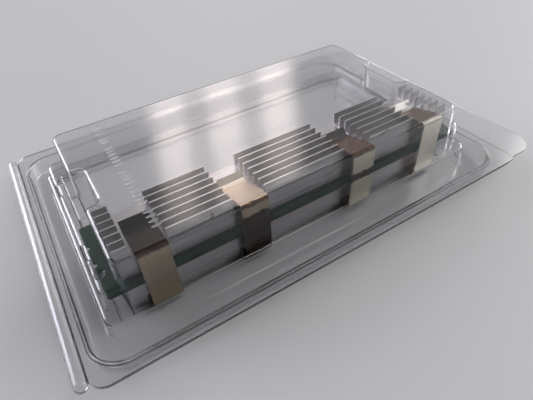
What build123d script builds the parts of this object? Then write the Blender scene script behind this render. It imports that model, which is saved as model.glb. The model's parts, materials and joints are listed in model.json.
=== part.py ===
"""A clear thermoformed clamshell pack with a hinged lid, holding one finned memory module.

Millimetres, +Z up. Every size below is worked out about the seat centre: the middle of the
module's length in X and the middle of the two module seats in Y. The finished pieces are then
moved so that the origin is under the middle of the closed pack.
"""
import math
import os

from build123d import *

# Circuit board
BOARD_LENGTH = 133.35
BOARD_DEPTH = 30.35
BOARD_THICK = 1.27
BOARD_CORNER = 1.0
KEY_OFFSET = 8.0
KEY_WIDTH = 1.5
KEY_DEPTH = 4.0
LATCH_NOTCH_RADIUS = 1.25
LATCH_NOTCH_HEIGHTS = (9.5, 17.3)

# Chips and thermal pads
CHIP_HEIGHT = 1.1
MEMORY_CHIP_DEPTH = 11.0
TOP_CHIPS_EACH_SIDE = 4
TOP_CHIP_END = 0.4
TOP_CHIP_SPACING = 2.2
BUFFER_SPACING = 2.25
BOTTOM_CHIPS = 10
BOTTOM_CHIP_END = 2.05
BUFFER_CHIP_LENGTH = 24.5
BUFFER_CHIP_DEPTH = 16.5
CHIP_ROW_SETBACK = 11.9
ID_CHIP_LENGTH = 3.0
ID_CHIP_DEPTH = 2.0
ID_CHIP_HEIGHT = 0.75
ID_CHIP_END = 17.5
ID_CHIP_SETBACK = 23.6
PAD_THICK = 0.38
PAD_MARGIN = 1.5

# Extruded heatsinks
HEATSINK_END = 5.175
HEATSINK_SETBACK = 2.0
PLATE_THICK = 6.25
FIN_COUNT = 7
FIN_PITCH = 3.1
FIN_THICK = 0.5
FIN_HEIGHT = 4.1
FIN_SETBACK = 0.3
SLOT_WIDTH = 10.8
SLOT_SINK = 0.3
SLOT_END = 9.8
SLOT_INNER_SHARE = 1 / 6

# Spring clips
CLIP_WIDTH = 9.0
CLIP_THICK = 0.6
CLIP_BOARD_GAP = 0.7
CLIP_RISE = 3.2
CLIP_ARM_REACH = 12.6
CLIP_FOOT_LENGTH = 1.4
CLIP_LIP_RUN = 1.9
CLIP_LIP_RISE = 2.0
CLIP_FOLD_RADIUS = 1.0
CLIP_LIP_RADIUS = 1.2

# Formed sheet
FILM = 0.5
DRAFT = 3.0
EDGE_RADIUS = 1.2
FOOT_RADIUS = 0.8

# Heights above the table
FLANGE_HEIGHT = 6.3
FLANGE_GAP = 0.1
LEDGE_HEIGHT = 8.9
SHOULDER_HEIGHT = 17.0
HEADROOM = 0.9
MOAT_FLOOR_GAP = 0.3

# Dome over both module seats
DOME_END_GAP = 0.7
DOME_SIDE_GAP = 0.6
DOME_CORNER = 3.2
NOTCH_SIDE_GAP = 1.1
NOTCH_DEPTH = 4.4
NOTCH_CORNER = 2.5
NOTCH_MOUTH = 1.8
NOTCH_OFFSET = -0.3

# Shoulders that cap the board's ends
SHOULDER_END_GAP = 0.9
SHOULDER_SIDE_GAP = 0.9
SHOULDER_CORNER = 2.6
GROOVE_WIDTH = 7.0
GROOVE_DEPTH = 0.5
GROOVE_CORNER = 1.0
GROOVE_OFFSET = 16.5
DIMPLE_RADIUS = 1.3
DIMPLE_SINK = 0.6
DIMPLE_INSET = 1.9
DIMPLE_OFFSET = 26.5

# Plinth, moat and flange
LEDGE_END = 1.5
LEDGE_FRONT = 2.6
LEDGE_BACK = 6.6
LEDGE_CORNER = 4.2
MOAT_END = 5.6
MOAT_FRONT = 9.06
MOAT_BACK = 13.86
MOAT_CORNER = 9.0
MOAT_DRAFT = 6.0
NEST_GAP = 0.3
FLANGE_FRONT = 4.6
FLANGE_BACK = 5.9
FLANGE_RIGHT = 4.9
FLANGE_LEFT = 2.7
FLANGE_CORNER = 5.0
TAB_REACH = 12.8
TAB_LAP = 2.0
TAB_SETBACK = 1.0
TAB_CORNER = 8.0
TAB_STEP_RADIUS = 0.4

# Hinge bead along the left edge
BEAD_RADIUS = 1.9
BEAD_SETBACK = 2.0

# Posts under the board's ends
POST_WIDTH = 3.2
POST_INSET = 1.0
POST_EDGE = 0.7
POST_CORNER = 0.9
SEAT_GAP = 4.3

# Heights of the stack, from the table up
BASE_FLOOR = FILM
CHIP_GAP = CHIP_HEIGHT + PAD_THICK
HEATSINK_HEIGHT = PLATE_THICK + FIN_HEIGHT
BOARD_BOTTOM = BASE_FLOOR + HEATSINK_HEIGHT + CHIP_GAP
BOARD_TOP = BOARD_BOTTOM + BOARD_THICK
BOARD_MIDDLE = (BOARD_BOTTOM + BOARD_TOP) / 2
TOP_PLATE = BOARD_TOP + CHIP_GAP
FIN_TIPS = TOP_PLATE + HEATSINK_HEIGHT
DOME_HEIGHT = FIN_TIPS + HEADROOM + FILM
LID_FLANGE_BOTTOM = FLANGE_HEIGHT + FLANGE_GAP
LID_FLANGE_TOP = LID_FLANGE_BOTTOM + FILM
HINGE_HEIGHT = FLANGE_HEIGHT + FLANGE_GAP / 2
MOAT_FLOOR = BASE_FLOOR + MOAT_FLOOR_GAP + FILM
BELOW = -5.0
LEVEL_TOLERANCE = 0.001

# Places in plan, from the seat centre
BOARD_FRONT = -SEAT_GAP / 2 - BOARD_DEPTH
HEATSINK_LENGTH = BOARD_LENGTH - 2 * HEATSINK_END
HEATSINK_FRONT = BOARD_FRONT + HEATSINK_SETBACK
HEATSINK_DEPTH = FIN_SETBACK + (FIN_COUNT - 1) * FIN_PITCH + FIN_THICK + FIN_SETBACK
SLOT_OUTER = HEATSINK_LENGTH / 2 - SLOT_END
SLOT_INNER = HEATSINK_LENGTH * SLOT_INNER_SHARE
SLOT_CENTRES = (-SLOT_OUTER, -SLOT_INNER, SLOT_INNER, SLOT_OUTER)
TOP_CHIP_ROW = HEATSINK_LENGTH / 2 - TOP_CHIP_END - BUFFER_CHIP_LENGTH / 2 - BUFFER_SPACING
TOP_CHIP_PITCH = (TOP_CHIP_ROW + TOP_CHIP_SPACING) / TOP_CHIPS_EACH_SIDE
MEMORY_CHIP_LENGTH = TOP_CHIP_PITCH - TOP_CHIP_SPACING
TOP_CHIP_START = BUFFER_CHIP_LENGTH / 2 + BUFFER_SPACING + MEMORY_CHIP_LENGTH / 2
BOTTOM_CHIP_ROW = HEATSINK_LENGTH - 2 * BOTTOM_CHIP_END - MEMORY_CHIP_LENGTH
BOTTOM_CHIP_PITCH = BOTTOM_CHIP_ROW / (BOTTOM_CHIPS - 1)
ID_CHIP_OFFSET = HEATSINK_LENGTH / 2 - ID_CHIP_END
CLIP_BACK = BOARD_FRONT - CLIP_BOARD_GAP - CLIP_THICK
DOME_DEPTH = 2 * (DOME_SIDE_GAP + FILM - CLIP_BACK)
SHOULDER_DEPTH = 2 * (SHOULDER_SIDE_GAP + FILM - BOARD_FRONT)
NOTCH_WIDTH = -2 * (HEATSINK_FRONT + HEATSINK_DEPTH + NOTCH_SIDE_GAP)
DOME_HALF_LENGTH = HEATSINK_LENGTH / 2 + DOME_END_GAP + FILM
SHOULDER_HALF_LENGTH = BOARD_LENGTH / 2 + SHOULDER_END_GAP + FILM
SLOPE = math.tan(math.radians(DRAFT))
DOME_FOOT_SPREAD = (DOME_HEIGHT - LEDGE_HEIGHT) * SLOPE
SHOULDER_FOOT_SPREAD = (SHOULDER_HEIGHT - LEDGE_HEIGHT) * SLOPE
LEDGE_HALF_LENGTH = SHOULDER_HALF_LENGTH + SHOULDER_FOOT_SPREAD + LEDGE_END
LEDGE_FRONT_Y = -DOME_DEPTH / 2 - DOME_FOOT_SPREAD - LEDGE_FRONT
LEDGE_BACK_Y = DOME_DEPTH / 2 + DOME_FOOT_SPREAD + LEDGE_BACK
MOAT_LENGTH = 2 * (LEDGE_HALF_LENGTH + MOAT_END)
MOAT_FRONT_Y = LEDGE_FRONT_Y - MOAT_FRONT
MOAT_BACK_Y = LEDGE_BACK_Y + MOAT_BACK
FLANGE_FRONT_Y = MOAT_FRONT_Y - FLANGE_FRONT
FLANGE_BACK_Y = MOAT_BACK_Y + FLANGE_BACK
FLANGE_RIGHT_X = MOAT_LENGTH / 2 + FLANGE_RIGHT
FLANGE_LEFT_X = -MOAT_LENGTH / 2 - FLANGE_LEFT
BEAD_X = FLANGE_LEFT_X - BEAD_RADIUS + FILM / 2
FOLD_X = BEAD_X - BEAD_RADIUS
TAB_X = FLANGE_RIGHT_X + TAB_REACH
TO_ORIGIN = Pos(-(FOLD_X + TAB_X) / 2, -(FLANGE_FRONT_Y + FLANGE_BACK_Y) / 2, 0)


def corners(x_low, x_high, y_low, y_high):
    """The four corners of a rectangle in plan."""
    return [(x_low, y_low), (x_high, y_low), (x_high, y_high), (x_low, y_high)]


def rounded(points, radii):
    """A flat face bounded by straight runs with rounded corners."""
    return make_face(FilletPolyline(*points, radius=radii, close=True))


def raised(face, low, high, draft):
    """A block that narrows by its draft as it rises from low to high."""
    return extrude(Pos(0, 0, low) * face, amount=high - low, taper=draft)


def sunk(face, low, high, draft):
    """A space that narrows by its draft as it sinks from high to low."""
    return extrude(Pos(0, 0, high) * face, amount=low - high, taper=draft)


def level_edges(shape, height):
    """The edges of a shape that lie wholly at one height."""
    return shape.edges().filter_by_position(Axis.Z, height - LEVEL_TOLERANCE, height + LEVEL_TOLERANCE)


def rim_edges(shape, height):
    """The edges around a pan's mouth, which lie inside the flange's own outline."""
    inside = MOAT_LENGTH / 2 + FLANGE_LEFT / 2
    return level_edges(shape, height).filter_by(
        lambda edge: abs(edge.center().X) < inside
        and MOAT_FRONT_Y - FLANGE_LEFT / 2 < edge.center().Y < MOAT_BACK_Y + FLANGE_LEFT / 2)


def foot_edges(shape, height):
    """The edges around the plinth's foot, which lie inside the moat's own floor."""
    reach = LEDGE_HALF_LENGTH + MOAT_END / 2
    front = LEDGE_FRONT_Y - MOAT_FRONT / 2
    back = LEDGE_BACK_Y + MOAT_BACK / 2
    return level_edges(shape, height).filter_by(
        lambda edge: abs(edge.center().X) < reach and front < edge.center().Y < back)


def notched(half_x, half_y, notch_half, inset, spread):
    """The dome's plan above the shoulders: a rounded rectangle with a finger notch in each end."""
    deep = half_x - NOTCH_DEPTH
    near = NOTCH_OFFSET - notch_half
    far = NOTCH_OFFSET + notch_half
    right = [(half_x, -half_y), (half_x, near), (deep, near), (deep, far), (half_x, far), (half_x, half_y)]
    left = [(-x, y) for x, y in reversed(right)]
    corner = DOME_CORNER - inset + spread
    mouth = NOTCH_MOUTH - inset + spread
    bend = NOTCH_CORNER + inset - spread
    return rounded(right + left, 2 * [corner, mouth, bend, bend, mouth, corner])


def dome(inset):
    """The dome's block, its skin moved inwards by inset, with a finger notch in each end."""
    top = DOME_HEIGHT - inset
    floor = SHOULDER_HEIGHT - inset
    low = LEDGE_HEIGHT - FILM
    spread = (top - low) * SLOPE
    half_x = DOME_HALF_LENGTH - inset + spread
    half_y = DOME_DEPTH / 2 - inset + spread
    plan = rounded(corners(-half_x, half_x, -half_y, half_y), DOME_CORNER - inset + spread)
    block = raised(plan, low, floor, DRAFT)
    rise = (top - floor) * SLOPE
    plan = notched(DOME_HALF_LENGTH - inset + rise, DOME_DEPTH / 2 - inset + rise,
                   NOTCH_WIDTH / 2 + inset - rise, inset, rise)
    upper = raised(plan, floor, top, DRAFT)
    return block + fillet(level_edges(upper, top), EDGE_RADIUS - inset)


def shoulder(inset):
    """The block over one end of the board, with two grooves pressed into its outer wall."""
    top = SHOULDER_HEIGHT - inset
    low = LEDGE_HEIGHT - FILM
    spread = (top - low) * SLOPE
    outer = SHOULDER_HALF_LENGTH - inset + spread
    half_y = SHOULDER_DEPTH / 2 - inset + spread
    plan = rounded(corners(0, outer, -half_y, half_y), SHOULDER_CORNER - inset + spread)
    block = raised(plan, low, top, DRAFT)
    groove_half = GROOVE_WIDTH / 2 + inset
    wall = SHOULDER_HALF_LENGTH - GROOVE_DEPTH - inset
    for offset in (-GROOVE_OFFSET, GROOVE_OFFSET):
        plan = rounded(corners(wall, outer + GROOVE_WIDTH, offset - groove_half, offset + groove_half),
                       GROOVE_CORNER + inset)
        block -= extrude(Pos(0, 0, low) * plan, amount=top - low)
    return fillet(level_edges(block, top), EDGE_RADIUS - inset)


def dimple(inset):
    """A small cone pressed into the top of the left shoulder, near its front corner."""
    place = Pos(DIMPLE_INSET - SHOULDER_HALF_LENGTH, -DIMPLE_OFFSET, SHOULDER_HEIGHT - inset)
    cone = Cone(DIMPLE_RADIUS + inset, DIMPLE_RADIUS / 2 + inset, DIMPLE_SINK,
                align=(Align.CENTER, Align.CENTER, Align.MIN))
    return place * (Rot(180, 0, 0) * cone)


def plinth(inset):
    """The low block under dome and shoulders, whose top is the ledge around them."""
    top = LEDGE_HEIGHT - inset
    low = MOAT_FLOOR - FILM
    spread = (top - low) * SLOPE
    half_x = LEDGE_HALF_LENGTH - inset + spread
    front = LEDGE_FRONT_Y + inset - spread
    back = LEDGE_BACK_Y - inset + spread
    plan = rounded(corners(-half_x, half_x, front, back), LEDGE_CORNER - inset + spread)
    block = raised(plan, low, top, DRAFT)
    return fillet(level_edges(block, top), EDGE_RADIUS - inset)


def pan(floor, rim, grow):
    """The space of a shallow pan, its rim grown outwards from the moat's own rim."""
    half_x = MOAT_LENGTH / 2 + grow
    plan = rounded(corners(-half_x, half_x, MOAT_FRONT_Y - grow, MOAT_BACK_Y + grow), MOAT_CORNER + grow)
    space = sunk(plan, floor, rim, MOAT_DRAFT)
    return fillet(level_edges(space, floor), FOOT_RADIUS + grow)


def lid_flange():
    """The lid's flange in plan, with the opening tab along its right edge."""
    step_x = FLANGE_RIGHT_X - TAB_LAP
    tab_x = step_x + TAB_SETBACK
    front = FLANGE_FRONT_Y
    back = FLANGE_BACK_Y
    points = [(FLANGE_LEFT_X, front), (step_x, front), (tab_x, front + TAB_SETBACK),
              (TAB_X, front + TAB_SETBACK), (TAB_X, back - TAB_SETBACK),
              (tab_x, back - TAB_SETBACK), (step_x, back), (FLANGE_LEFT_X, back)]
    radii = [FLANGE_CORNER, TAB_STEP_RADIUS, TAB_STEP_RADIUS, TAB_CORNER,
             TAB_CORNER, TAB_STEP_RADIUS, TAB_STEP_RADIUS, FLANGE_CORNER]
    return rounded(points, radii)


def base_flange():
    """The base's flange in plan, which stops short of the lid's tab."""
    points = corners(FLANGE_LEFT_X, FLANGE_RIGHT_X, FLANGE_FRONT_Y, FLANGE_BACK_Y)
    return rounded(points, FLANGE_CORNER)


def bead_space(radius, height):
    """A round bar along the flange's left edge, with ball ends, about the bead's middle line."""
    front = FLANGE_FRONT_Y + BEAD_SETBACK + BEAD_RADIUS
    back = FLANGE_BACK_Y - BEAD_SETBACK - BEAD_RADIUS
    bar = Pos(BEAD_X, (front + back) / 2, height) * (Rot(90, 0, 0) * Cylinder(radius, back - front))
    for y in (front, back):
        bar += Pos(BEAD_X, y, height) * Sphere(radius)
    return bar


def half_bead(height, upper):
    """One half of the hinge bead: half of a round-ended tube, from the flange's left edge to the fold line."""
    tube = bead_space(BEAD_RADIUS, height) - bead_space(BEAD_RADIUS - FILM, height)
    return split(tube, bisect_by=Plane.XY.offset(height), keep=Keep.TOP if upper else Keep.BOTTOM)


def flange_skin(plan, rim, space, inset):
    """Everything under a flange with a pan's space sunk into it, the mouth's edge rounded."""
    body = extrude(Pos(0, 0, BELOW) * plan, amount=rim - BELOW) - space
    return fillet(rim_edges(body, rim), EDGE_RADIUS - inset)


def lid_skin(inset):
    """Everything under the lid's upper surface, that surface moved inwards by inset."""
    rim = LID_FLANGE_TOP - inset
    floor = MOAT_FLOOR - inset
    body = flange_skin(lid_flange(), rim, pan(floor, rim, inset), inset) + plinth(inset)
    body = fillet(foot_edges(body, floor), FOOT_RADIUS + inset)
    end = shoulder(inset)
    return body + dome(inset) + end + mirror(end, about=Plane.YZ) - dimple(inset)


def make_lid():
    """The lid: one formed sheet of flange, moat, plinth, shoulders and dome, with its half bead."""
    return lid_skin(0) - lid_skin(FILM) + half_bead(LID_FLANGE_BOTTOM, True)


def posts(inset):
    """The four blocks that rise from the base's floor to carry the ends of two boards."""
    top = BOARD_BOTTOM - inset
    low = BASE_FLOOR - FILM
    spread = (top - low) * SLOPE
    outer = BOARD_LENGTH / 2 - POST_INSET - inset + spread
    inner = BOARD_LENGTH / 2 - POST_INSET - POST_WIDTH + inset - spread
    front = BOARD_FRONT + POST_INSET + inset - spread
    back = BOARD_FRONT + BOARD_DEPTH - POST_INSET - inset + spread
    plan = rounded(corners(inner, outer, front, back), POST_CORNER - inset + spread)
    block = raised(plan, low, top, DRAFT)
    block = fillet(level_edges(block, top), POST_EDGE - inset)
    pair = block + mirror(block, about=Plane.YZ)
    return pair + mirror(pair, about=Plane.XZ)


def base_skin(inset):
    """Everything under the base's upper surface, that surface moved inwards by inset."""
    rim = FLANGE_HEIGHT - inset
    grow = FILM + NEST_GAP + inset
    body = flange_skin(base_flange(), rim, pan(BASE_FLOOR - inset, rim, grow), inset)
    return body + posts(inset)


def make_base():
    """The base: one formed sheet of flange and pan, with hollow posts under the boards' ends."""
    return base_skin(0) - base_skin(FILM) + half_bead(FLANGE_HEIGHT, False)


def make_board():
    """The circuit board: key notch in the contact edge and latch notches in both ends."""
    back = BOARD_FRONT + BOARD_DEPTH
    half = BOARD_LENGTH / 2
    plan = rounded(corners(-half, half, BOARD_FRONT, back), BOARD_CORNER)
    key = SlotOverall(2 * KEY_DEPTH, KEY_WIDTH, rotation=90)
    plan -= Pos(KEY_OFFSET, back) * key
    for height in LATCH_NOTCH_HEIGHTS:
        notch = Circle(LATCH_NOTCH_RADIUS)
        plan -= Pos(-half, back - height) * notch
        plan -= Pos(half, back - height) * notch
    return extrude(Pos(0, 0, BOARD_BOTTOM) * plan, amount=BOARD_THICK)


def chip(length, depth, height, x, setback, on_top):
    """One chip, standing on the board's top or hanging under its bottom."""
    middle = BOARD_TOP + height / 2 if on_top else BOARD_BOTTOM - height / 2
    return Pos(x, BOARD_FRONT + setback, middle) * Box(length, depth, height)


def top_chip_places():
    """The X places of the memory chips on the board's top, either side of the buffer chip."""
    steps = [TOP_CHIP_START + index * TOP_CHIP_PITCH for index in range(TOP_CHIPS_EACH_SIDE)]
    return [-x for x in reversed(steps)] + steps


def bottom_chip_places():
    """The X places of the memory chips under the board, in one even row."""
    first = -(BOTTOM_CHIPS - 1) / 2 * BOTTOM_CHIP_PITCH
    return [first + index * BOTTOM_CHIP_PITCH for index in range(BOTTOM_CHIPS)]


def under(shape):
    """The same piece on the other side of the board."""
    return mirror(shape, about=Plane.XY.offset(BOARD_MIDDLE))


def make_pad():
    """The thermal pad between the chips and the upper heatsink."""
    depth = HEATSINK_DEPTH - 2 * PAD_MARGIN
    middle_y = HEATSINK_FRONT + HEATSINK_DEPTH / 2
    block = Box(HEATSINK_LENGTH - 2 * PAD_MARGIN, depth, PAD_THICK)
    return Pos(0, middle_y, BOARD_TOP + CHIP_HEIGHT + PAD_THICK / 2) * block


def heatsink_section():
    """The upper heatsink's section across its length: a thick plate with a row of thin fins."""
    plate_top = TOP_PLATE + PLATE_THICK
    section = Pos(HEATSINK_FRONT + HEATSINK_DEPTH / 2, TOP_PLATE + PLATE_THICK / 2) * Rectangle(
        HEATSINK_DEPTH, PLATE_THICK)
    for index in range(FIN_COUNT):
        y = HEATSINK_FRONT + FIN_SETBACK + FIN_THICK / 2 + index * FIN_PITCH
        section += Pos(y, plate_top + FIN_HEIGHT / 2) * Rectangle(FIN_THICK, FIN_HEIGHT)
    return section


def make_heatsink():
    """The upper heatsink: an extrusion with its fins milled away where each clip's arm lies."""
    across = Plane((-HEATSINK_LENGTH / 2, 0, 0), x_dir=(0, 1, 0), z_dir=(1, 0, 0))
    body = extrude(across * heatsink_section(), amount=HEATSINK_LENGTH)
    floor = TOP_PLATE + PLATE_THICK - SLOT_SINK
    cut_height = FIN_HEIGHT + 2 * SLOT_SINK
    cut = Box(SLOT_WIDTH, 2 * HEATSINK_DEPTH, cut_height)
    for x in SLOT_CENTRES:
        body -= Pos(x, HEATSINK_FRONT + HEATSINK_DEPTH / 2, floor + cut_height / 2) * cut
    return body


def clip_path():
    """A clip's middle line in Y and Z: lip, arm, fold, back, and the same again below."""
    foot = TOP_PLATE + PLATE_THICK - SLOT_SINK + CLIP_THICK / 2
    fold = foot + CLIP_RISE
    back = CLIP_BACK + CLIP_THICK / 2
    reach = back + CLIP_ARM_REACH
    upper = [(reach + CLIP_FOOT_LENGTH + CLIP_LIP_RUN, foot + CLIP_LIP_RISE),
             (reach + CLIP_FOOT_LENGTH, foot), (reach, foot), (back, fold)]
    lower = [(y, 2 * BOARD_MIDDLE - z) for y, z in reversed(upper)]
    bends = [CLIP_LIP_RADIUS, CLIP_LIP_RADIUS, CLIP_FOLD_RADIUS]
    return FilletPolyline(*upper, *lower, radius=bends + bends[::-1])


def make_clip(x):
    """One spring clip: a bent strip around the board's front edge that presses both heatsinks."""
    strip = trace(clip_path(), CLIP_THICK)
    across = Plane((x - CLIP_WIDTH / 2, 0, 0), x_dir=(0, 1, 0), z_dir=(1, 0, 0))
    return extrude(across * strip, amount=CLIP_WIDTH)


def pieces():
    """Every piece of the pack by name, in the seat's own frame."""
    heatsink = make_heatsink()
    pad = make_pad()
    made = {
        "pack_lid": make_lid(),
        "pack_base": make_base(),
        "circuit_board": make_board(),
        "top_heatsink": heatsink,
        "bottom_heatsink": under(heatsink),
        "top_thermal_pad": pad,
        "bottom_thermal_pad": under(pad),
        "buffer_chip": chip(BUFFER_CHIP_LENGTH, BUFFER_CHIP_DEPTH, CHIP_HEIGHT, 0, CHIP_ROW_SETBACK, True),
        "id_chip": chip(ID_CHIP_LENGTH, ID_CHIP_DEPTH, ID_CHIP_HEIGHT, ID_CHIP_OFFSET, ID_CHIP_SETBACK, True),
    }
    for number, x in enumerate(SLOT_CENTRES, 1):
        made[f"spring_clip_{number}"] = make_clip(x)
    for number, x in enumerate(top_chip_places(), 1):
        made[f"top_memory_chip_{number}"] = chip(
            MEMORY_CHIP_LENGTH, MEMORY_CHIP_DEPTH, CHIP_HEIGHT, x, CHIP_ROW_SETBACK, True)
    for number, x in enumerate(bottom_chip_places(), 1):
        made[f"bottom_memory_chip_{number}"] = chip(
            MEMORY_CHIP_LENGTH, MEMORY_CHIP_DEPTH, CHIP_HEIGHT, x, CHIP_ROW_SETBACK, False)
    return made


os.makedirs("parts", exist_ok=True)
for name, piece in pieces().items():
    export_step(TO_ORIGIN * piece, f"parts/{name}.step")
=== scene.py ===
"""A clear clamshell pack with a heatsinked memory module in it, dressed for one studio picture.

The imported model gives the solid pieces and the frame. This script gives them their finishes, adds the
thin things that are left to the picture (the film of the living hinge, the row of raised bars in the lid
and the board's contacts) and sets the light and the camera. Lengths are in millimetres until they reach
a mesh, apart from those of the soft panels, which are in metres.
"""

from __future__ import annotations

import json
import logging
from dataclasses import dataclass, field
from enum import Enum
from typing import Any

import bmesh
import bpy
import numpy as np
from mathutils import Matrix, Vector

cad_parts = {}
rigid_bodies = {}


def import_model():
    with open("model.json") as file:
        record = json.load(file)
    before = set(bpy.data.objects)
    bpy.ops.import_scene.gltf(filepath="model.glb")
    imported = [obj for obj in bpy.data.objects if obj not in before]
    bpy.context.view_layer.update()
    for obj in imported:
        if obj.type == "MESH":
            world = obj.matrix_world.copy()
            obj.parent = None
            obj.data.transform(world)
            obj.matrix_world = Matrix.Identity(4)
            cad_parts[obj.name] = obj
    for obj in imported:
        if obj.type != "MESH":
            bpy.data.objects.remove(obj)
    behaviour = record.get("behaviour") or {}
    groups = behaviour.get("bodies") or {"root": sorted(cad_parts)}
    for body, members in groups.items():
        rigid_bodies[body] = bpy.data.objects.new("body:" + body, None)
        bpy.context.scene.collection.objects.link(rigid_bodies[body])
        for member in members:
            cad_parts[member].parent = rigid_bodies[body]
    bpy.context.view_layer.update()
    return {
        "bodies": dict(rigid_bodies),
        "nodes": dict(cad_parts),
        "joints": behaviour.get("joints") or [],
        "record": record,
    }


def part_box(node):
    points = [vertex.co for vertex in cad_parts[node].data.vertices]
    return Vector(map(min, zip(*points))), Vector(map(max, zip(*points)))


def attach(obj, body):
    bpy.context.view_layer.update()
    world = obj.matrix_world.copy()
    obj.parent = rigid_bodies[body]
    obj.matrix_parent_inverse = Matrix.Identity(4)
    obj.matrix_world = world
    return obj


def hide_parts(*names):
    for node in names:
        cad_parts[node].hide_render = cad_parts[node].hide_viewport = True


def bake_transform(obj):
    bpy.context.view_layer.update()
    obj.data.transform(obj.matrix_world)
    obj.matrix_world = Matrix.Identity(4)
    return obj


MM = 0.001
# Points closer than this, in mm, are one point.
MERGE = 0.002
# The strongest pull of large faces on the shading of a bend, which keeps the flat faces flat.
FLAT_WEIGHT = 100
LOG = logging.getLogger("clamshell")


class Body(Enum):
    """The bodies that pieces ride on."""

    BASE = "base"
    LID = "lid"


class Slot(Enum):
    """The record's material slots."""

    CLEAR_SHEET = "clear_sheet"
    BOARD = "board"
    HEATSINK = "heatsink"
    CLIP = "clip"
    CHIP = "chip"
    PAD = "pad"


def linear(colour: str) -> tuple[float, float, float, float]:
    """Turns an sRGB colour into linear light, by the standard's straight foot and power curve.

    Args:
        colour: The colour as #rrggbb.

    Returns:
        Red, green, blue and an alpha of 1.
    """
    srgb = np.array([int(colour[i : i + 2], 16) for i in (1, 3, 5)]) / 255.0
    light = np.where(srgb <= 0.04045, srgb / 12.92, ((srgb + 0.055) / 1.055) ** 2.4)
    return (*(float(c) for c in light), 1.0)


def add(
    tree: bpy.types.NodeTree, kind: str, inputs: dict[str | int, Any] | None = None, **settings: Any
) -> bpy.types.Node:
    """Adds one node with its settings and links.

    Args:
        tree: The node tree it goes into.
        kind: The node's type name.
        inputs: For each input, by name or number, a plain value or the socket that feeds it.
        settings: The node's own settings.

    Returns:
        The node.
    """
    node = tree.nodes.new(kind)
    for name, value in settings.items():
        setattr(node, name, value)
    for key, value in (inputs or {}).items():
        if isinstance(value, bpy.types.NodeSocket):
            tree.links.new(value, node.inputs[key])
        else:
            node.inputs[key].default_value = value
    return node


def blank(name: str) -> tuple[bpy.types.Material, bpy.types.NodeTree]:
    """Starts a material with an empty node tree.

    Args:
        name: The material's name.

    Returns:
        The material and its tree.
    """
    material = bpy.data.materials.new(name)
    material.use_nodes = True
    material.node_tree.nodes.clear()
    return material, material.node_tree


def grain(
    tree: bpy.types.NodeTree, cell: tuple[float, float, float], detail: float = 2.0
) -> bpy.types.NodeSocket:
    """Noise in the object's own coordinates, stretched to cells of a given size.

    Args:
        tree: The node tree.
        cell: The size of a cell along X, Y and Z, in mm.
        detail: How many finer layers lie on the first.

    Returns:
        The noise, about 0.5 on average.
    """
    place = add(tree, "ShaderNodeTexCoord").outputs["Object"]
    scaled = add(tree, "ShaderNodeMapping", {"Vector": place, "Scale": [1 / (c * MM) for c in cell]})
    noise = add(tree, "ShaderNodeTexNoise", {"Vector": scaled.outputs[0], "Scale": 1.0, "Detail": detail})
    return noise.outputs[0]


def ramp(tree: bpy.types.NodeTree, value: Any, low: float, high: float) -> bpy.types.NodeSocket:
    """A smooth step from 0 at low to 1 at high.

    Args:
        tree: The node tree.
        value: The socket to read.
        low: Where the step starts.
        high: Where it ends.

    Returns:
        The step's socket.
    """
    settings = {"Value": value, "From Min": low, "From Max": high}
    return add(tree, "ShaderNodeMapRange", settings, interpolation_type="SMOOTHSTEP").outputs[0]


def tinted(tree: bpy.types.NodeTree, share: Any, first: Any, second: Any) -> bpy.types.NodeSocket:
    """Mixes two colours.

    Args:
        tree: The node tree.
        share: How much of the second colour shows.
        first: The first colour.
        second: The second colour.

    Returns:
        The mixed colour.
    """
    return add(tree, "ShaderNodeMix", {0: share, 6: first, 7: second}, data_type="RGBA").outputs[2]


@dataclass(frozen=True)
class ClearSheet:
    """Thermoformed clear PET, drawn hot over a tool and chilled.

    The eye sees through it almost without loss, gets a mirror image at a slant, and bright or dark
    lines where the sheet bends. Drawing leaves the flat parts a little wavy, which bends those mirror
    images.
    """

    tint: str = "#f5f5f6"
    # Lower than PET's own, to match how little the sheet veils what is inside.
    ior: float = 1.42
    roughness: float = 0.07
    shade: str = "#f7f7f7"
    wave: float = 26.0
    wave_height: float = 0.05

    def make(self, name: str) -> bpy.types.Material:
        """Builds the material.

        Args:
            name: The material's name.

        Returns:
            The material.
        """
        material, tree = blank(name)
        wave = grain(tree, (self.wave,) * 3, detail=1.0)
        bump = add(
            tree, "ShaderNodeBump", {"Height": wave, "Distance": self.wave_height * MM, "Strength": 1.0}
        )
        sheet = add(
            tree,
            "ShaderNodeBsdfPrincipled",
            {
                "Base Color": linear(self.tint),
                "Roughness": self.roughness,
                "IOR": self.ior,
                "Transmission Weight": 1.0,
                "Normal": bump.outputs[0],
            },
        )
        # Light on its way to the things inside goes straight through, as it does through a thin wall.
        path = add(tree, "ShaderNodeLightPath").outputs
        straight = add(
            tree,
            "ShaderNodeMath",
            {0: path["Is Shadow Ray"], 1: path["Is Diffuse Ray"]},
            operation="MAXIMUM",
        )
        through = add(tree, "ShaderNodeBsdfTransparent", {"Color": linear(self.shade)})
        both = add(
            tree,
            "ShaderNodeMixShader",
            {0: straight.outputs[0], 1: sheet.outputs[0], 2: through.outputs[0]},
        )
        add(tree, "ShaderNodeOutputMaterial", {"Surface": both.outputs[0]})
        return material


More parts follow.
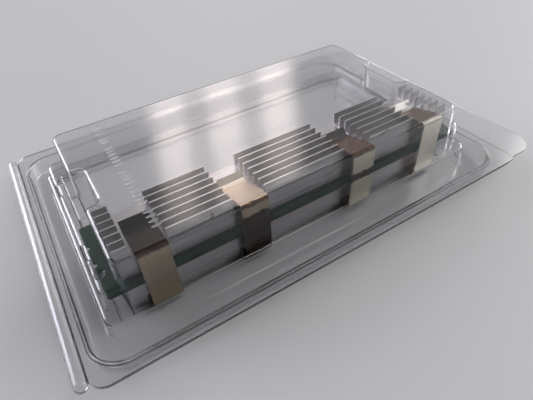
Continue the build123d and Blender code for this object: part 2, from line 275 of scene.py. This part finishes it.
@dataclass(frozen=True)
class Mark:
    """A straight scratch or nick, from start to end, in mm in the shared frame.

    The core is the share of the width that has the mark's full colour.
    """

    start: tuple[float, float, float]
    end: tuple[float, float, float]
    width: float
    colour: str
    core: float = 0.3

    def mask(self, tree: bpy.types.NodeTree) -> bpy.types.NodeSocket:
        """Builds the mask: 1 on the line between start and end, fading to 0 at the mark's width.

        Args:
            tree: The node tree.

        Returns:
            The mask's socket.
        """
        start, run = np.array(self.start) * MM, (np.array(self.end) - np.array(self.start)) * MM
        place = add(tree, "ShaderNodeTexCoord").outputs["Object"]
        offset = add(tree, "ShaderNodeVectorMath", {0: place, 1: start}, operation="SUBTRACT").outputs[0]
        along = add(
            tree, "ShaderNodeVectorMath", {0: offset, 1: run / float(run @ run)}, operation="DOT_PRODUCT"
        )
        held = add(tree, "ShaderNodeClamp", {0: along.outputs["Value"]})
        foot = add(tree, "ShaderNodeVectorMath", {0: run, "Scale": held.outputs[0]}, operation="SCALE")
        gap = add(tree, "ShaderNodeVectorMath", {0: offset, 1: foot.outputs[0]}, operation="DISTANCE")
        return ramp(tree, gap.outputs["Value"], self.width * MM, self.core * self.width * MM)


@dataclass(frozen=True)
class ExtrudedAluminium:
    """Bare aluminium, pushed through a die and milled across where the clips sit.

    The die leaves fine lines along the length, so the shine spreads across them, and handling has left
    a few dark scratches.
    """

    dark: str = "#b6b4b7"
    pale: str = "#d4d1d2"
    tone: tuple[float, float] = (0.3, 0.7)
    roughness: float = 0.29
    rough_less: float = 0.06
    rough_more: float = 0.08
    # Real die lines are finer: these are as coarse as they need to be to show.
    line: float = 0.3
    line_run: float = 60.0
    line_depth: float = 0.0014
    line_strength: float = 0.6
    marks: tuple[Mark, ...] = ()

    def make(self, name: str) -> bpy.types.Material:
        """Builds the material.

        Args:
            name: The material's name.

        Returns:
            The material.
        """
        material, tree = blank(name)
        lines = grain(tree, (self.line_run, self.line, self.line), detail=3.0)
        colour = tinted(tree, ramp(tree, lines, *self.tone), linear(self.dark), linear(self.pale))
        for mark in self.marks:
            colour = tinted(tree, mark.mask(tree), colour, linear(mark.colour))
        rough = add(
            tree,
            "ShaderNodeMapRange",
            {
                "Value": lines,
                "To Min": self.roughness - self.rough_less,
                "To Max": self.roughness + self.rough_more,
            },
        )
        bump = add(
            tree,
            "ShaderNodeBump",
            {"Height": lines, "Distance": self.line_depth * MM, "Strength": self.line_strength},
        )
        metal = add(
            tree,
            "ShaderNodeBsdfPrincipled",
            {
                "Base Color": colour,
                "Metallic": 1.0,
                "Roughness": rough.outputs[0],
                "Normal": bump.outputs[0],
            },
        )
        add(tree, "ShaderNodeOutputMaterial", {"Surface": metal.outputs[0]})
        return material


@dataclass(frozen=True)
class SpringStrip:
    """Nickel-washed spring steel strip, slit, brushed along its length and bent.

    Brushing stretches the shine across the strip. The wash is thin, so bends and rubbed places have gone
    brown. The four colours are those of the upright front, the fold at its top, the arm over the
    heatsink and the arm's far lip. Each is partly that brown and partly painted reflection: every clip
    gets its own lighter or darker copy, with painted highlights and painted shade for what its metal
    mirrors.
    """

    spine: str
    fold: str
    arm: str
    lip: str
    roughness: float = 0.3
    # Real brush lines are finer: these are as coarse as they need to be to show.
    brush: float = 0.16
    brush_run: float = 40.0
    brush_depth: float = 0.01
    brush_strength: float = 0.7
    brush_tone: tuple[float, float] = (0.25, 0.75)
    brush_share: float = 0.12
    # The edges between the colours wander with a cloud of this cell, by up to this reach.
    cloud: float = 1.6
    cloud_reach: float = 1.6
    fold_top: float = 24.9
    fold_soft: float = 1.0
    arm_back: float = -37.9
    arm_soft: float = 1.2
    lip_back: float = -26.0
    lip_soft: float = 1.0
    # A dark rubbed patch across the front: the height of its middle and half its own height.
    patch: tuple[float, float] = (0.0, 0.0)
    patch_reach: float = 0.0
    patch_soft: float = 0.35
    patch_colour: str = "#3c2a20"

    def make(self, name: str) -> bpy.types.Material:
        """Builds the material.

        Args:
            name: The material's name.

        Returns:
            The material.
        """
        material, tree = blank(name)
        place = add(tree, "ShaderNodeTexCoord").outputs["Object"]
        axis = add(tree, "ShaderNodeSeparateXYZ", {0: place}).outputs
        lines = grain(tree, (self.brush, self.brush_run, self.brush_run), detail=2.0)
        cloud = grain(tree, (self.cloud,) * 3, detail=4.0)
        rise, reach = (
            add(
                tree,
                "ShaderNodeMath",
                {0: cloud, 1: self.cloud_reach * MM, 2: axis[letter]},
                operation="MULTIPLY_ADD",
            ).outputs[0]
            for letter in ("Z", "Y")
        )
        folded = ramp(tree, rise, (self.fold_top - self.fold_soft) * MM, self.fold_top * MM)
        colour = tinted(tree, folded, linear(self.spine), linear(self.fold))
        on_arm = ramp(tree, reach, self.arm_back * MM, (self.arm_back + self.arm_soft) * MM)
        colour = tinted(tree, on_arm, colour, linear(self.arm))
        on_lip = ramp(tree, reach, self.lip_back * MM, (self.lip_back + self.lip_soft) * MM)
        colour = tinted(tree, on_lip, colour, linear(self.lip))
        if self.patch_reach > 0:
            height, size = (v * MM for v in self.patch)
            away = add(tree, "ShaderNodeMath", {0: axis["Z"], 1: height}, operation="SUBTRACT").outputs[0]
            away = add(tree, "ShaderNodeMath", {0: away}, operation="ABSOLUTE").outputs[0]
            # The noise is about a half, so twice the reach moves the edge by the reach on average.
            ragged = add(
                tree,
                "ShaderNodeMath",
                {0: cloud, 1: -2.0 * self.patch_reach * MM, 2: away},
                operation="MULTIPLY_ADD",
            ).outputs[0]
            worn = ramp(tree, ragged, size, size - self.patch_soft * MM)
            colour = tinted(tree, worn, colour, linear(self.patch_colour))
        shade = ramp(tree, lines, *self.brush_tone)
        grey = add(tree, "ShaderNodeCombineColor", {0: shade, 1: shade, 2: shade}).outputs[0]
        colour = add(
            tree,
            "ShaderNodeMix",
            {0: self.brush_share, 6: colour, 7: grey},
            data_type="RGBA",
            blend_type="OVERLAY",
        ).outputs[2]
        bump = add(
            tree,
            "ShaderNodeBump",
            {"Height": lines, "Distance": self.brush_depth * MM, "Strength": self.brush_strength},
        )
        metal = add(
            tree,
            "ShaderNodeBsdfPrincipled",
            {"Base Color": colour, "Metallic": 1.0, "Roughness": self.roughness, "Normal": bump.outputs[0]},
        )
        add(tree, "ShaderNodeOutputMaterial", {"Surface": metal.outputs[0]})
        return material


@dataclass(frozen=True)
class SolderMask:
    """Green solder mask, screened over etched copper.

    The copper lies a few hundredths high under the mask, so tracks show as paler, slightly raised lines.
    """

    # Near black, darker than the board's own mid green: it also paints the shade that falls on the board
    # under and beside the heatsinks.
    mask: str = "#022a1f"
    track: str = "#1d6049"
    # Real tracks lie closer together: these are as coarse as they need to be to show.
    pitch: float = 1.3
    run: float = 9.0
    track_width: float = 0.09
    track_edge: float = 0.2
    track_height: float = 0.03
    track_strength: float = 0.8
    roughness: float = 0.38
    gloss: float = 0.2

    def make(self, name: str) -> bpy.types.Material:
        """Builds the material.

        Args:
            name: The material's name.

        Returns:
            The material.
        """
        material, tree = blank(name)
        place = add(tree, "ShaderNodeTexCoord").outputs["Object"]
        # The joints of a brick pattern stand for the tracks: 1 on a joint and 0 on a brick.
        bricks = add(
            tree,
            "ShaderNodeTexBrick",
            {
                "Vector": place,
                "Color1": (0, 0, 0, 1),
                "Color2": (0, 0, 0, 1),
                "Mortar": (1, 1, 1, 1),
                "Scale": 1.0,
                "Mortar Size": self.track_width * MM,
                "Mortar Smooth": self.track_edge,
                "Brick Width": self.run * MM,
                "Row Height": self.pitch * MM,
            },
        ).outputs[0]
        colour = tinted(tree, bricks, linear(self.mask), linear(self.track))
        bump = add(
            tree,
            "ShaderNodeBump",
            {"Height": bricks, "Distance": self.track_height * MM, "Strength": self.track_strength},
        )
        coat = add(
            tree,
            "ShaderNodeBsdfPrincipled",
            {
                "Base Color": colour,
                "Roughness": self.roughness,
                "Specular IOR Level": self.gloss,
                "Normal": bump.outputs[0],
            },
        )
        add(tree, "ShaderNodeOutputMaterial", {"Surface": coat.outputs[0]})
        return material


@dataclass(frozen=True)
class Plain:
    """A finish of one colour: moulded epoxy, a soft pad, gold plate or the table.

    Fine grain varies the shine a little, as moulding or plating does.
    """

    colour: str
    roughness: float
    metal: float = 0.0
    cell: float = 0.4
    rough_spread: float = 0.08

    def make(self, name: str) -> bpy.types.Material:
        """Builds the material.

        Args:
            name: The material's name.

        Returns:
            The material.
        """
        material, tree = blank(name)
        spread = add(
            tree,
            "ShaderNodeMapRange",
            {
                "Value": grain(tree, (self.cell,) * 3),
                "To Min": self.roughness - self.rough_spread,
                "To Max": self.roughness + self.rough_spread,
            },
        )
        skin = add(
            tree,
            "ShaderNodeBsdfPrincipled",
            {"Base Color": linear(self.colour), "Metallic": self.metal, "Roughness": spread.outputs[0]},
        )
        add(tree, "ShaderNodeOutputMaterial", {"Surface": skin.outputs[0]})
        return material


def dress(piece: bpy.types.Object, material: bpy.types.Material) -> None:
    """Gives a piece one material, in each material slot it has or in a new one.

    Args:
        piece: The piece.
        material: Its finish.
    """
    if piece.material_slots:
        for holder in piece.material_slots:
            holder.material = material
    else:
        piece.data.materials.append(material)


def put(name: str, data: bpy.types.ID) -> bpy.types.Object:
    """Puts a mesh, a light or a camera into the scene, at the origin.

    Args:
        name: The new object's name.
        data: What it shows.

    Returns:
        The object.
    """
    thing = bpy.data.objects.new(name, data)
    bpy.context.scene.collection.objects.link(thing)
    return thing


def weld(mesh: bpy.types.Mesh) -> None:
    """Joins the points of a mesh that fall together, which closes its seams and poles.

    Args:
        mesh: The mesh.
    """
    work = bmesh.new()
    work.from_mesh(mesh)
    bmesh.ops.remove_doubles(work, verts=work.verts, dist=MERGE * MM)
    work.to_mesh(mesh)
    work.free()


def merged_copy(source: bpy.types.Object, name: str, crease: float) -> bpy.types.Object:
    """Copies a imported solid, joins its loose triangles and shades its bends smoothly.

    Args:
        source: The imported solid.
        name: The new piece's name.
        crease: The angle in degrees above which an edge stays sharp.

    Returns:
        The new piece, at the origin.
    """
    mesh = source.data.copy()
    weld(mesh)
    if mesh.has_custom_normals:
        mesh.attributes.remove(mesh.attributes["custom_normal"])
    mesh.shade_smooth()
    mesh.set_sharp_from_angle(angle=np.radians(crease))
    piece = put(name, mesh)
    flat = piece.modifiers.new("flat_faces_stay_flat", "WEIGHTED_NORMAL")
    flat.keep_sharp = True
    flat.weight = FLAT_WEIGHT
    return piece


def surface(name: str, points: np.ndarray) -> bpy.types.Object:
    """Makes a piece from a grid of points, one quad between each four neighbours.

    Points that fall together are joined, and a face looks the way a step along the columns crossed with
    a step along the rows points.

    Args:
        name: The piece's name.
        points: The points in mm, rows by columns by 3, or several such grids in one array.

    Returns:
        The piece, at the origin.
    """
    index = np.arange(points.size // 3).reshape(points.shape[:-1])
    sides = [index[..., :-1, :-1], index[..., :-1, 1:], index[..., 1:, 1:], index[..., 1:, :-1]]
    quads = np.stack(sides, -1).reshape(-1, 4)
    mesh = bpy.data.meshes.new(name)
    mesh.from_pydata(points.reshape(-1, 3) * MM, [], quads.tolist())
    weld(mesh)
    mesh.shade_smooth()
    mesh.update()
    return put(name, mesh)


def plates(name: str, low: np.ndarray, high: np.ndarray) -> bpy.types.Object:
    """Makes one piece of many small blocks, each from its lowest to its highest corner.

    A block's eight corners are its lowest corner plus none or all of its size along each axis.

    Args:
        name: The piece's name.
        low: The lowest corners in mm, one row each.
        high: The highest corners in mm, one row each.

    Returns:
        The piece, at the origin.
    """
    pick = np.array([[0, 0, 0], [1, 0, 0], [1, 1, 0], [0, 1, 0], [0, 0, 1], [1, 0, 1], [1, 1, 1], [0, 1, 1]])
    sides = np.array([[0, 3, 2, 1], [4, 5, 6, 7], [0, 1, 5, 4], [1, 2, 6, 5], [2, 3, 7, 6], [3, 0, 4, 7]])
    points = (low[:, None] + pick * (high - low)[:, None]).reshape(-1, 3)
    quads = (np.arange(len(low))[:, None, None] * len(pick) + sides).reshape(-1, 4)
    mesh = bpy.data.meshes.new(name)
    mesh.from_pydata(points * MM, [], quads.tolist())
    mesh.update()
    return put(name, mesh)


@dataclass
class FormedPack:
    """The clear lid and base, the film of the living hinge between them and the raised bars in the lid."""

    finish: ClearSheet = field(default_factory=ClearSheet)
    # The tool left the bars matt, so they scatter light and show as pale strokes.
    matt: ClearSheet = field(default_factory=lambda: ClearSheet(tint="#ffffff", roughness=0.5))
    crease: float = 40.0
    wall: float = 0.5
    fold_height: float = 6.35
    film_radius: float = 0.3
    film_thick: float = 0.1
    film_inset: float = 0.38
    film_end: float = 4.5
    film_steps: int = 9
    film_rows: int = 60
    bar_half: tuple[float, float, float] = (1.5, 0.34, 0.3)
    bar_clear: float = 0.02
    bar_x: float = -53.6
    bar_front: float = -33.0
    bar_back: float = 28.0
    bar_count: int = 29
    bar_gaps: tuple[int, ...] = (4, 14, 21, 24)
    bar_rows: int = 13
    bar_columns: int = 25

    def build(self, frame: dict[str, Any]) -> list[bpy.types.Object]:
        """Builds the pack.


        Returns:
            The pack's pieces.
        """
        pieces = []
        sheet = self.finish.make("thermoformed_clear_pet")
        for node, body in (("pack_lid", Body.LID), ("pack_base", Body.BASE)):
            shell = merged_copy(frame["nodes"][node], f"{node}_formed", self.crease)
            dress(shell, sheet)
            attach(shell, body.value)
            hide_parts(node)
            pieces.append(shell)
        film = self.hinge(sheet)
        row = self.bars(self.matt.make("clear_pet_matt_from_the_tool"))
        return [*pieces, film, row]

    def bars(self, sheet: bpy.types.Material) -> bpy.types.Object:
        """Builds the row of short raised bars under the dome's top, near its left end.

        Each bar is a flattened ball: its half length, half width and half height times the cosines and
        sine of two angles, carried in even steps across the dome.

        Args:
            sheet: The matt clear sheet's material.

        Returns:
            The row of bars.
        """
        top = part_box("pack_lid")[1].z / MM - self.wall - self.bar_half[2] - self.bar_clear
        tilt, turn = np.meshgrid(
            np.radians(np.linspace(-90, 90, self.bar_rows)),
            np.radians(np.linspace(0, 360, self.bar_columns)),
            indexing="ij",
        )
        ball = np.stack([np.cos(tilt) * np.cos(turn), np.cos(tilt) * np.sin(turn), np.sin(tilt)], -1)
        steps = np.linspace(self.bar_front, self.bar_back, self.bar_count)
        steps = np.delete(steps, list(self.bar_gaps))
        centres = np.stack([np.full_like(steps, self.bar_x), steps, np.full_like(steps, top)], -1)
        row = surface("lid_raised_bars", centres[:, None, None] + ball * np.array(self.bar_half))
        dress(row, sheet)
        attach(row, Body.LID.value)
        return row

    def hinge(self, sheet: bpy.types.Material) -> bpy.types.Object:
        """Builds the living hinge: a thin half ring of film about the fold, carried along the bead.

        The ring's outline runs round the outer half circle and back round the inner one. Just past each end
        of the bead it shrinks onto the half circle between them, which closes the film.

        Args:
            sheet: The clear sheet's material.

        Returns:
            The film.
        """
        low, high = (np.array(corner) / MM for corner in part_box("pack_lid"))
        fold = np.array([low[0] + self.film_inset, 0.0, self.fold_height])
        arc = np.radians(np.linspace(90, 270, self.film_steps))
        turn = np.concatenate([arc, arc[::-1], arc[:1]])[:, None]
        side = np.concatenate([np.ones_like(arc), -np.ones_like(arc), [1.0]])[:, None]
        along = np.linspace(low[1] + self.film_end, high[1] - self.film_end, self.film_rows)
        along = np.concatenate([along[:1] - self.film_thick / 2, along, along[-1:] + self.film_thick / 2])
        half = np.full_like(along, self.film_thick / 2)
        half[[0, -1]] = 0.0
        radius = self.film_radius - self.film_thick / 2 + side * half
        ring = [np.cos(turn) * radius, np.broadcast_to(along, radius.shape), np.sin(turn) * radius]
        film = surface("living_hinge_film", fold + np.stack(ring, -1))
        dress(film, sheet)
        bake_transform(film)
        return film


@dataclass
class Module:
    """The memory module: board, chips, pads, heatsinks and clips."""

    aluminium: ExtrudedAluminium = ExtrudedAluminium(
        marks=(
            Mark((1.4, -35.5, 18.3), (7.6, -35.5, 20.2), 0.28, "#54504d"),
            Mark((4.6, -35.5, 20.6), (9.6, -35.5, 21.0), 0.18, "#6a6664"),
            Mark((-8.6, -35.5, 16.9), (-4.2, -35.5, 17.4), 0.3, "#5a5653"),
            Mark((24.6, -35.2, 24.6), (28.2, -35.2, 25.4), 0.3, "#5a5653"),
            Mark((-39.0, -35.4, 22.4), (-38.4, -35.4, 23.3), 0.55, "#4a3326"),
            Mark((11.6, -35.4, 23.0), (12.0, -35.4, 23.4), 0.5, "#5a4a40"),
        )
    )
    # Each clip's colours are partly tarnish and partly painted reflection and shade: the near white spine,
    # fold and lip of the fourth are painted highlights, the dark arm and black lip of the first are painted
    # shade, and the cream arm of the second is a painted reflection of a bright window. The second's patch
    # is rust and the third's band is a smear.
    clips: tuple[SpringStrip, ...] = (
        SpringStrip(spine="#b7a68b", fold="#4d2b1b", arm="#3d322b", lip="#1d1816"),
        SpringStrip(
            spine="#b8a78e", fold="#5e3d2a", arm="#dcc6ae", lip="#e0d2ba", patch=(11.0, 8.0), patch_reach=1.6
        ),
        SpringStrip(
            spine="#e4dcc6", fold="#4a3c34", arm="#765845", lip="#4a4340", patch=(15.3, 0.5), patch_reach=1.2
        ),
        SpringStrip(spine="#fbf5e6", fold="#d8d4cc", arm="#867362", lip="#ece8e0"),
    )
    board: SolderMask = field(default_factory=SolderMask)
    chip: Plain = field(default_factory=lambda: Plain("#1a1b1d", 0.55))
    pad: Plain = field(default_factory=lambda: Plain("#8d8f92", 0.8))
    gold: Plain = field(default_factory=lambda: Plain("#d9b25f", 0.3, metal=1.0))
    contact_count: int = 120
    contact_pitch: float = 1.0
    contact_width: float = 0.72
    contact_length: float = 2.6
    contact_edge: float = 0.25
    contact_thick: float = 0.03
    key_offset: float = 8.0
    key_clear: float = 1.3
    crease: float = 35.0

    def build(self, frame: dict[str, Any]) -> list[bpy.types.Object]:
        """Builds the module.


        Returns:
            The module's pieces.
        """
        pieces = []
        nodes = frame["nodes"]
        aluminium = self.aluminium.make("extruded_bare_aluminium")
        for node in ("top_heatsink", "bottom_heatsink"):
            piece = merged_copy(nodes[node], f"{node}_extruded", self.crease)
            dress(piece, aluminium)
            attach(piece, Body.BASE.value)
            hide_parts(node)
            pieces.append(piece)
        for number, finish in enumerate(self.clips, 1):
            node = f"spring_clip_{number}"
            piece = merged_copy(nodes[node], f"{node}_bent", self.crease)
            dress(piece, finish.make(f"tarnished_strip_and_painted_reflection_{number}"))
            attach(piece, Body.BASE.value)
            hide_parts(node)
            pieces.append(piece)
        board = nodes["circuit_board"]
        dress(board, self.board.make("screened_solder_mask"))
        pieces += [board, *self.contacts()]
        chip, pad = self.chip.make("moulded_epoxy"), self.pad.make("soft_thermal_pad")
        for name, piece in nodes.items():
            if "chip" in name:
                dress(piece, chip)
                pieces.append(piece)
            elif "pad" in name:
                dress(piece, pad)
                pieces.append(piece)
        return pieces

    def contacts(self) -> list[bpy.types.Object]:
        """Builds the rows of plated contacts along the board's back edge, on both faces.

        Each contact is a thin block. The blocks stand at even steps about the board's middle, and those
        within reach of the key notch are left out.

        Returns:
            The row on the top face and the row on the bottom face.
        """
        low, high = (np.array(corner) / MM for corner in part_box("circuit_board"))
        middle = (low[0] + high[0]) / 2
        steps = (np.arange(self.contact_count) - (self.contact_count - 1) / 2) * self.contact_pitch
        steps = steps[np.abs(steps - self.key_offset) > self.key_clear]
        rows = []
        for face, (bottom, top) in {
            "top": (high[2], high[2] + self.contact_thick),
            "bottom": (low[2] - self.contact_thick, low[2]),
        }.items():
            first = np.stack(
                [
                    middle + steps - self.contact_width / 2,
                    np.full_like(steps, high[1] - self.contact_edge - self.contact_length),
                    np.full_like(steps, bottom),
                ],
                -1,
            )
            size = np.array([self.contact_width, self.contact_length, top - bottom])
            row = plates(f"{face}_contacts", first, first + size)
            dress(row, self.gold.make(f"{face}_gold_plate"))
            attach(row, Body.BASE.value)
            rows.append(row)
        return rows


@dataclass
class Panel:
    """A flat soft light: where it stands, what it faces, its size in metres and how bright it looks.

    The soft edge, and the bars' dark core and outer edge, are shares of the panel's side.
    """

    place: tuple[float, float, float]
    aim: tuple[float, float, float]
    width: float
    height: float
    brightness: float
    soft: float
    colour: str = "#ffffff"
    bars: int = 0
    bar_core: float = 0.02
    bar_edge: float = 0.12
    bar_light: float = 0.35

    def build(self, name: str) -> None:
        """Puts the light in.

        Args:
            name: The light's name.
        """
        lamp = bpy.data.lights.new(name, "AREA")
        lamp.shape = "RECTANGLE"
        lamp.size, lamp.size_y = self.width, self.height
        lamp.energy = self.brightness * np.pi * self.width * self.height
        lamp.color = linear(self.colour)[:3]
        self.fade(lamp)
        back = (Vector(self.place) - Vector(self.aim)).normalized()
        turn = back.to_track_quat("Z", "Y").to_matrix().to_4x4()
        put(name, lamp).matrix_world = Matrix.Translation(self.place) @ turn

    def fade(self, lamp: bpy.types.Light) -> None:
        """Fades the panel out towards its edges and darkens upright bars in it, as a curtained window.

        Args:
            lamp: The panel's light.
        """
        lamp.use_nodes = True
        tree = lamp.node_tree
        tree.nodes.clear()
        place = add(tree, "ShaderNodeNewGeometry").outputs["Parametric"]
        axis = add(tree, "ShaderNodeSeparateXYZ", {0: place}).outputs
        share: Any = 1.0
        for letter in ("X", "Y"):
            rise = ramp(tree, axis[letter], 0.0, self.soft)
            fall = ramp(tree, axis[letter], 1.0, 1.0 - self.soft)
            both = add(tree, "ShaderNodeMath", {0: rise, 1: fall}, operation="MULTIPLY").outputs[0]
            share = add(tree, "ShaderNodeMath", {0: share, 1: both}, operation="MULTIPLY").outputs[0]
        for number in range(self.bars):
            middle = (number + 1) / (self.bars + 1)
            off = add(tree, "ShaderNodeMath", {0: axis["X"], 1: middle}, operation="SUBTRACT").outputs[0]
            off = add(tree, "ShaderNodeMath", {0: off}, operation="ABSOLUTE").outputs[0]
            open_share = add(
                tree,
                "ShaderNodeMapRange",
                {
                    "Value": off,
                    "From Min": self.bar_core,
                    "From Max": self.bar_edge,
                    "To Min": self.bar_light,
                },
                interpolation_type="SMOOTHSTEP",
            ).outputs[0]
            share = add(tree, "ShaderNodeMath", {0: share, 1: open_share}, operation="MULTIPLY").outputs[0]
        glow = add(tree, "ShaderNodeEmission", {"Strength": share})
        add(tree, "ShaderNodeOutputLight", {0: glow.outputs[0]})


@dataclass
class Studio:
    """The table, the soft light and the camera."""

    table: Plain = field(default_factory=lambda: Plain("#dbdbdd", 0.55, cell=8.0))
    table_half: float = 3000.0
    table_gap: float = 0.06
    walls: int = 32
    air_back: str = "#f0f0f2"
    air_front: str = "#444446"
    air_strength: float = 0.48
    air_way: tuple[float, float, float] = (0.55, 0.83, 0.0)
    air_span: tuple[float, float] = (-0.45, 0.9)
    eye: tuple[float, float, float] = (-68.1, -119.65, 107.23)
    eye_near: float = 5.0
    yaw: float = 29.42
    pitch: float = 42.17
    roll: float = -4.10
    lens: float = 29.1
    panels: tuple[Panel, ...] = (
        Panel((0.385, 0.90, 0.68), (-0.02, 0.0, 0.03), 0.50, 0.60, 2.3, soft=0.14, colour="#fff1ec", bars=2),
        Panel((0.46, -0.20, 1.25), (0.05, -0.05, 0.0), 0.8, 0.8, 3.1, soft=0.3),
        Panel((-1.08, 1.22, 0.58), (-0.05, 0.0, 0.05), 1.36, 1.06, 5.7, soft=0.2, colour="#f3f1fc"),
        Panel((0.95, -0.45, 0.62), (0.05, -0.05, 0.02), 0.6, 0.6, 2.6, soft=0.2),
        Panel((1.75, 0.08, 0.80), (0.1, 0.0, 0.0), 1.3, 1.0, 4.8, soft=0.2),
    )

    def build(self) -> None:
        """Sets the studio up."""
        scene = bpy.context.scene
        scene.view_settings.view_transform = "Standard"
        # Sight and light pass many walls of clear sheet on the way to the table and back.
        scene.cycles.max_bounces = self.walls
        scene.cycles.transmission_bounces = self.walls
        scene.cycles.transparent_max_bounces = self.walls
        scene.world = self.air()
        ends = [-self.table_half, self.table_half]
        across, along = np.meshgrid(ends, ends)
        table = surface("table", np.stack([across, along, np.full_like(across, -self.table_gap)], -1))
        table.data.materials.append(self.table.make("plain_table"))
        for number, panel in enumerate(self.panels, 1):
            panel.build(f"soft_panel_{number}")
        self.camera()

    def air(self) -> bpy.types.World:
        """Makes the room's own light: pale at the back, darker at the front.

        Returns:
            The world.
        """
        world = bpy.data.worlds.new("soft_air")
        world.use_nodes = True
        tree = world.node_tree
        tree.nodes.clear()
        way = add(tree, "ShaderNodeTexCoord").outputs["Generated"]
        back = add(tree, "ShaderNodeVectorMath", {0: way, 1: self.air_way}, operation="DOT_PRODUCT")
        share = ramp(tree, back.outputs["Value"], *self.air_span)
        shade = tinted(tree, share, linear(self.air_front), linear(self.air_back))
        glow = add(tree, "ShaderNodeBackground", {0: shade, 1: self.air_strength})
        add(tree, "ShaderNodeOutputWorld", {0: glow.outputs[0]})
        return world

    def camera(self) -> None:
        """Sets the camera at the photo's angle.

        Yaw turns a level line of sight from Y towards X, pitch lowers it and roll turns the picture.
        """
        yaw, pitch, roll = np.radians([self.yaw, self.pitch, self.roll])
        level = np.array([np.sin(yaw), np.cos(yaw), 0.0])
        ahead = np.cos(pitch) * level - np.array([0, 0, np.sin(pitch)])
        side = np.array([np.cos(yaw), -np.sin(yaw), 0.0])
        rise = np.sin(pitch) * level + np.array([0, 0, np.cos(pitch)])
        right = np.cos(roll) * side + np.sin(roll) * rise
        above = np.cos(roll) * rise - np.sin(roll) * side
        turn = Matrix(np.stack([right, above, -ahead], 1).tolist()).to_4x4()
        lens = bpy.data.cameras.new("camera")
        lens.lens = self.lens
        lens.clip_start = self.eye_near * MM
        holder = put("camera", lens)
        holder.matrix_world = Matrix.Translation(np.array(self.eye) * MM) @ turn
        bpy.context.scene.camera = holder


def main() -> None:
    """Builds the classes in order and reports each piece."""
    logging.basicConfig(level=logging.INFO, format="%(name)s %(message)s")
    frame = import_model()
    for assembly in (FormedPack(), Module()):
        for piece in assembly.build(frame):
            LOG.info("%s: %d faces, %s", piece.name, len(piece.data.polygons), piece.active_material.name)
    Studio().build()


if __name__ == "__main__":
    main()
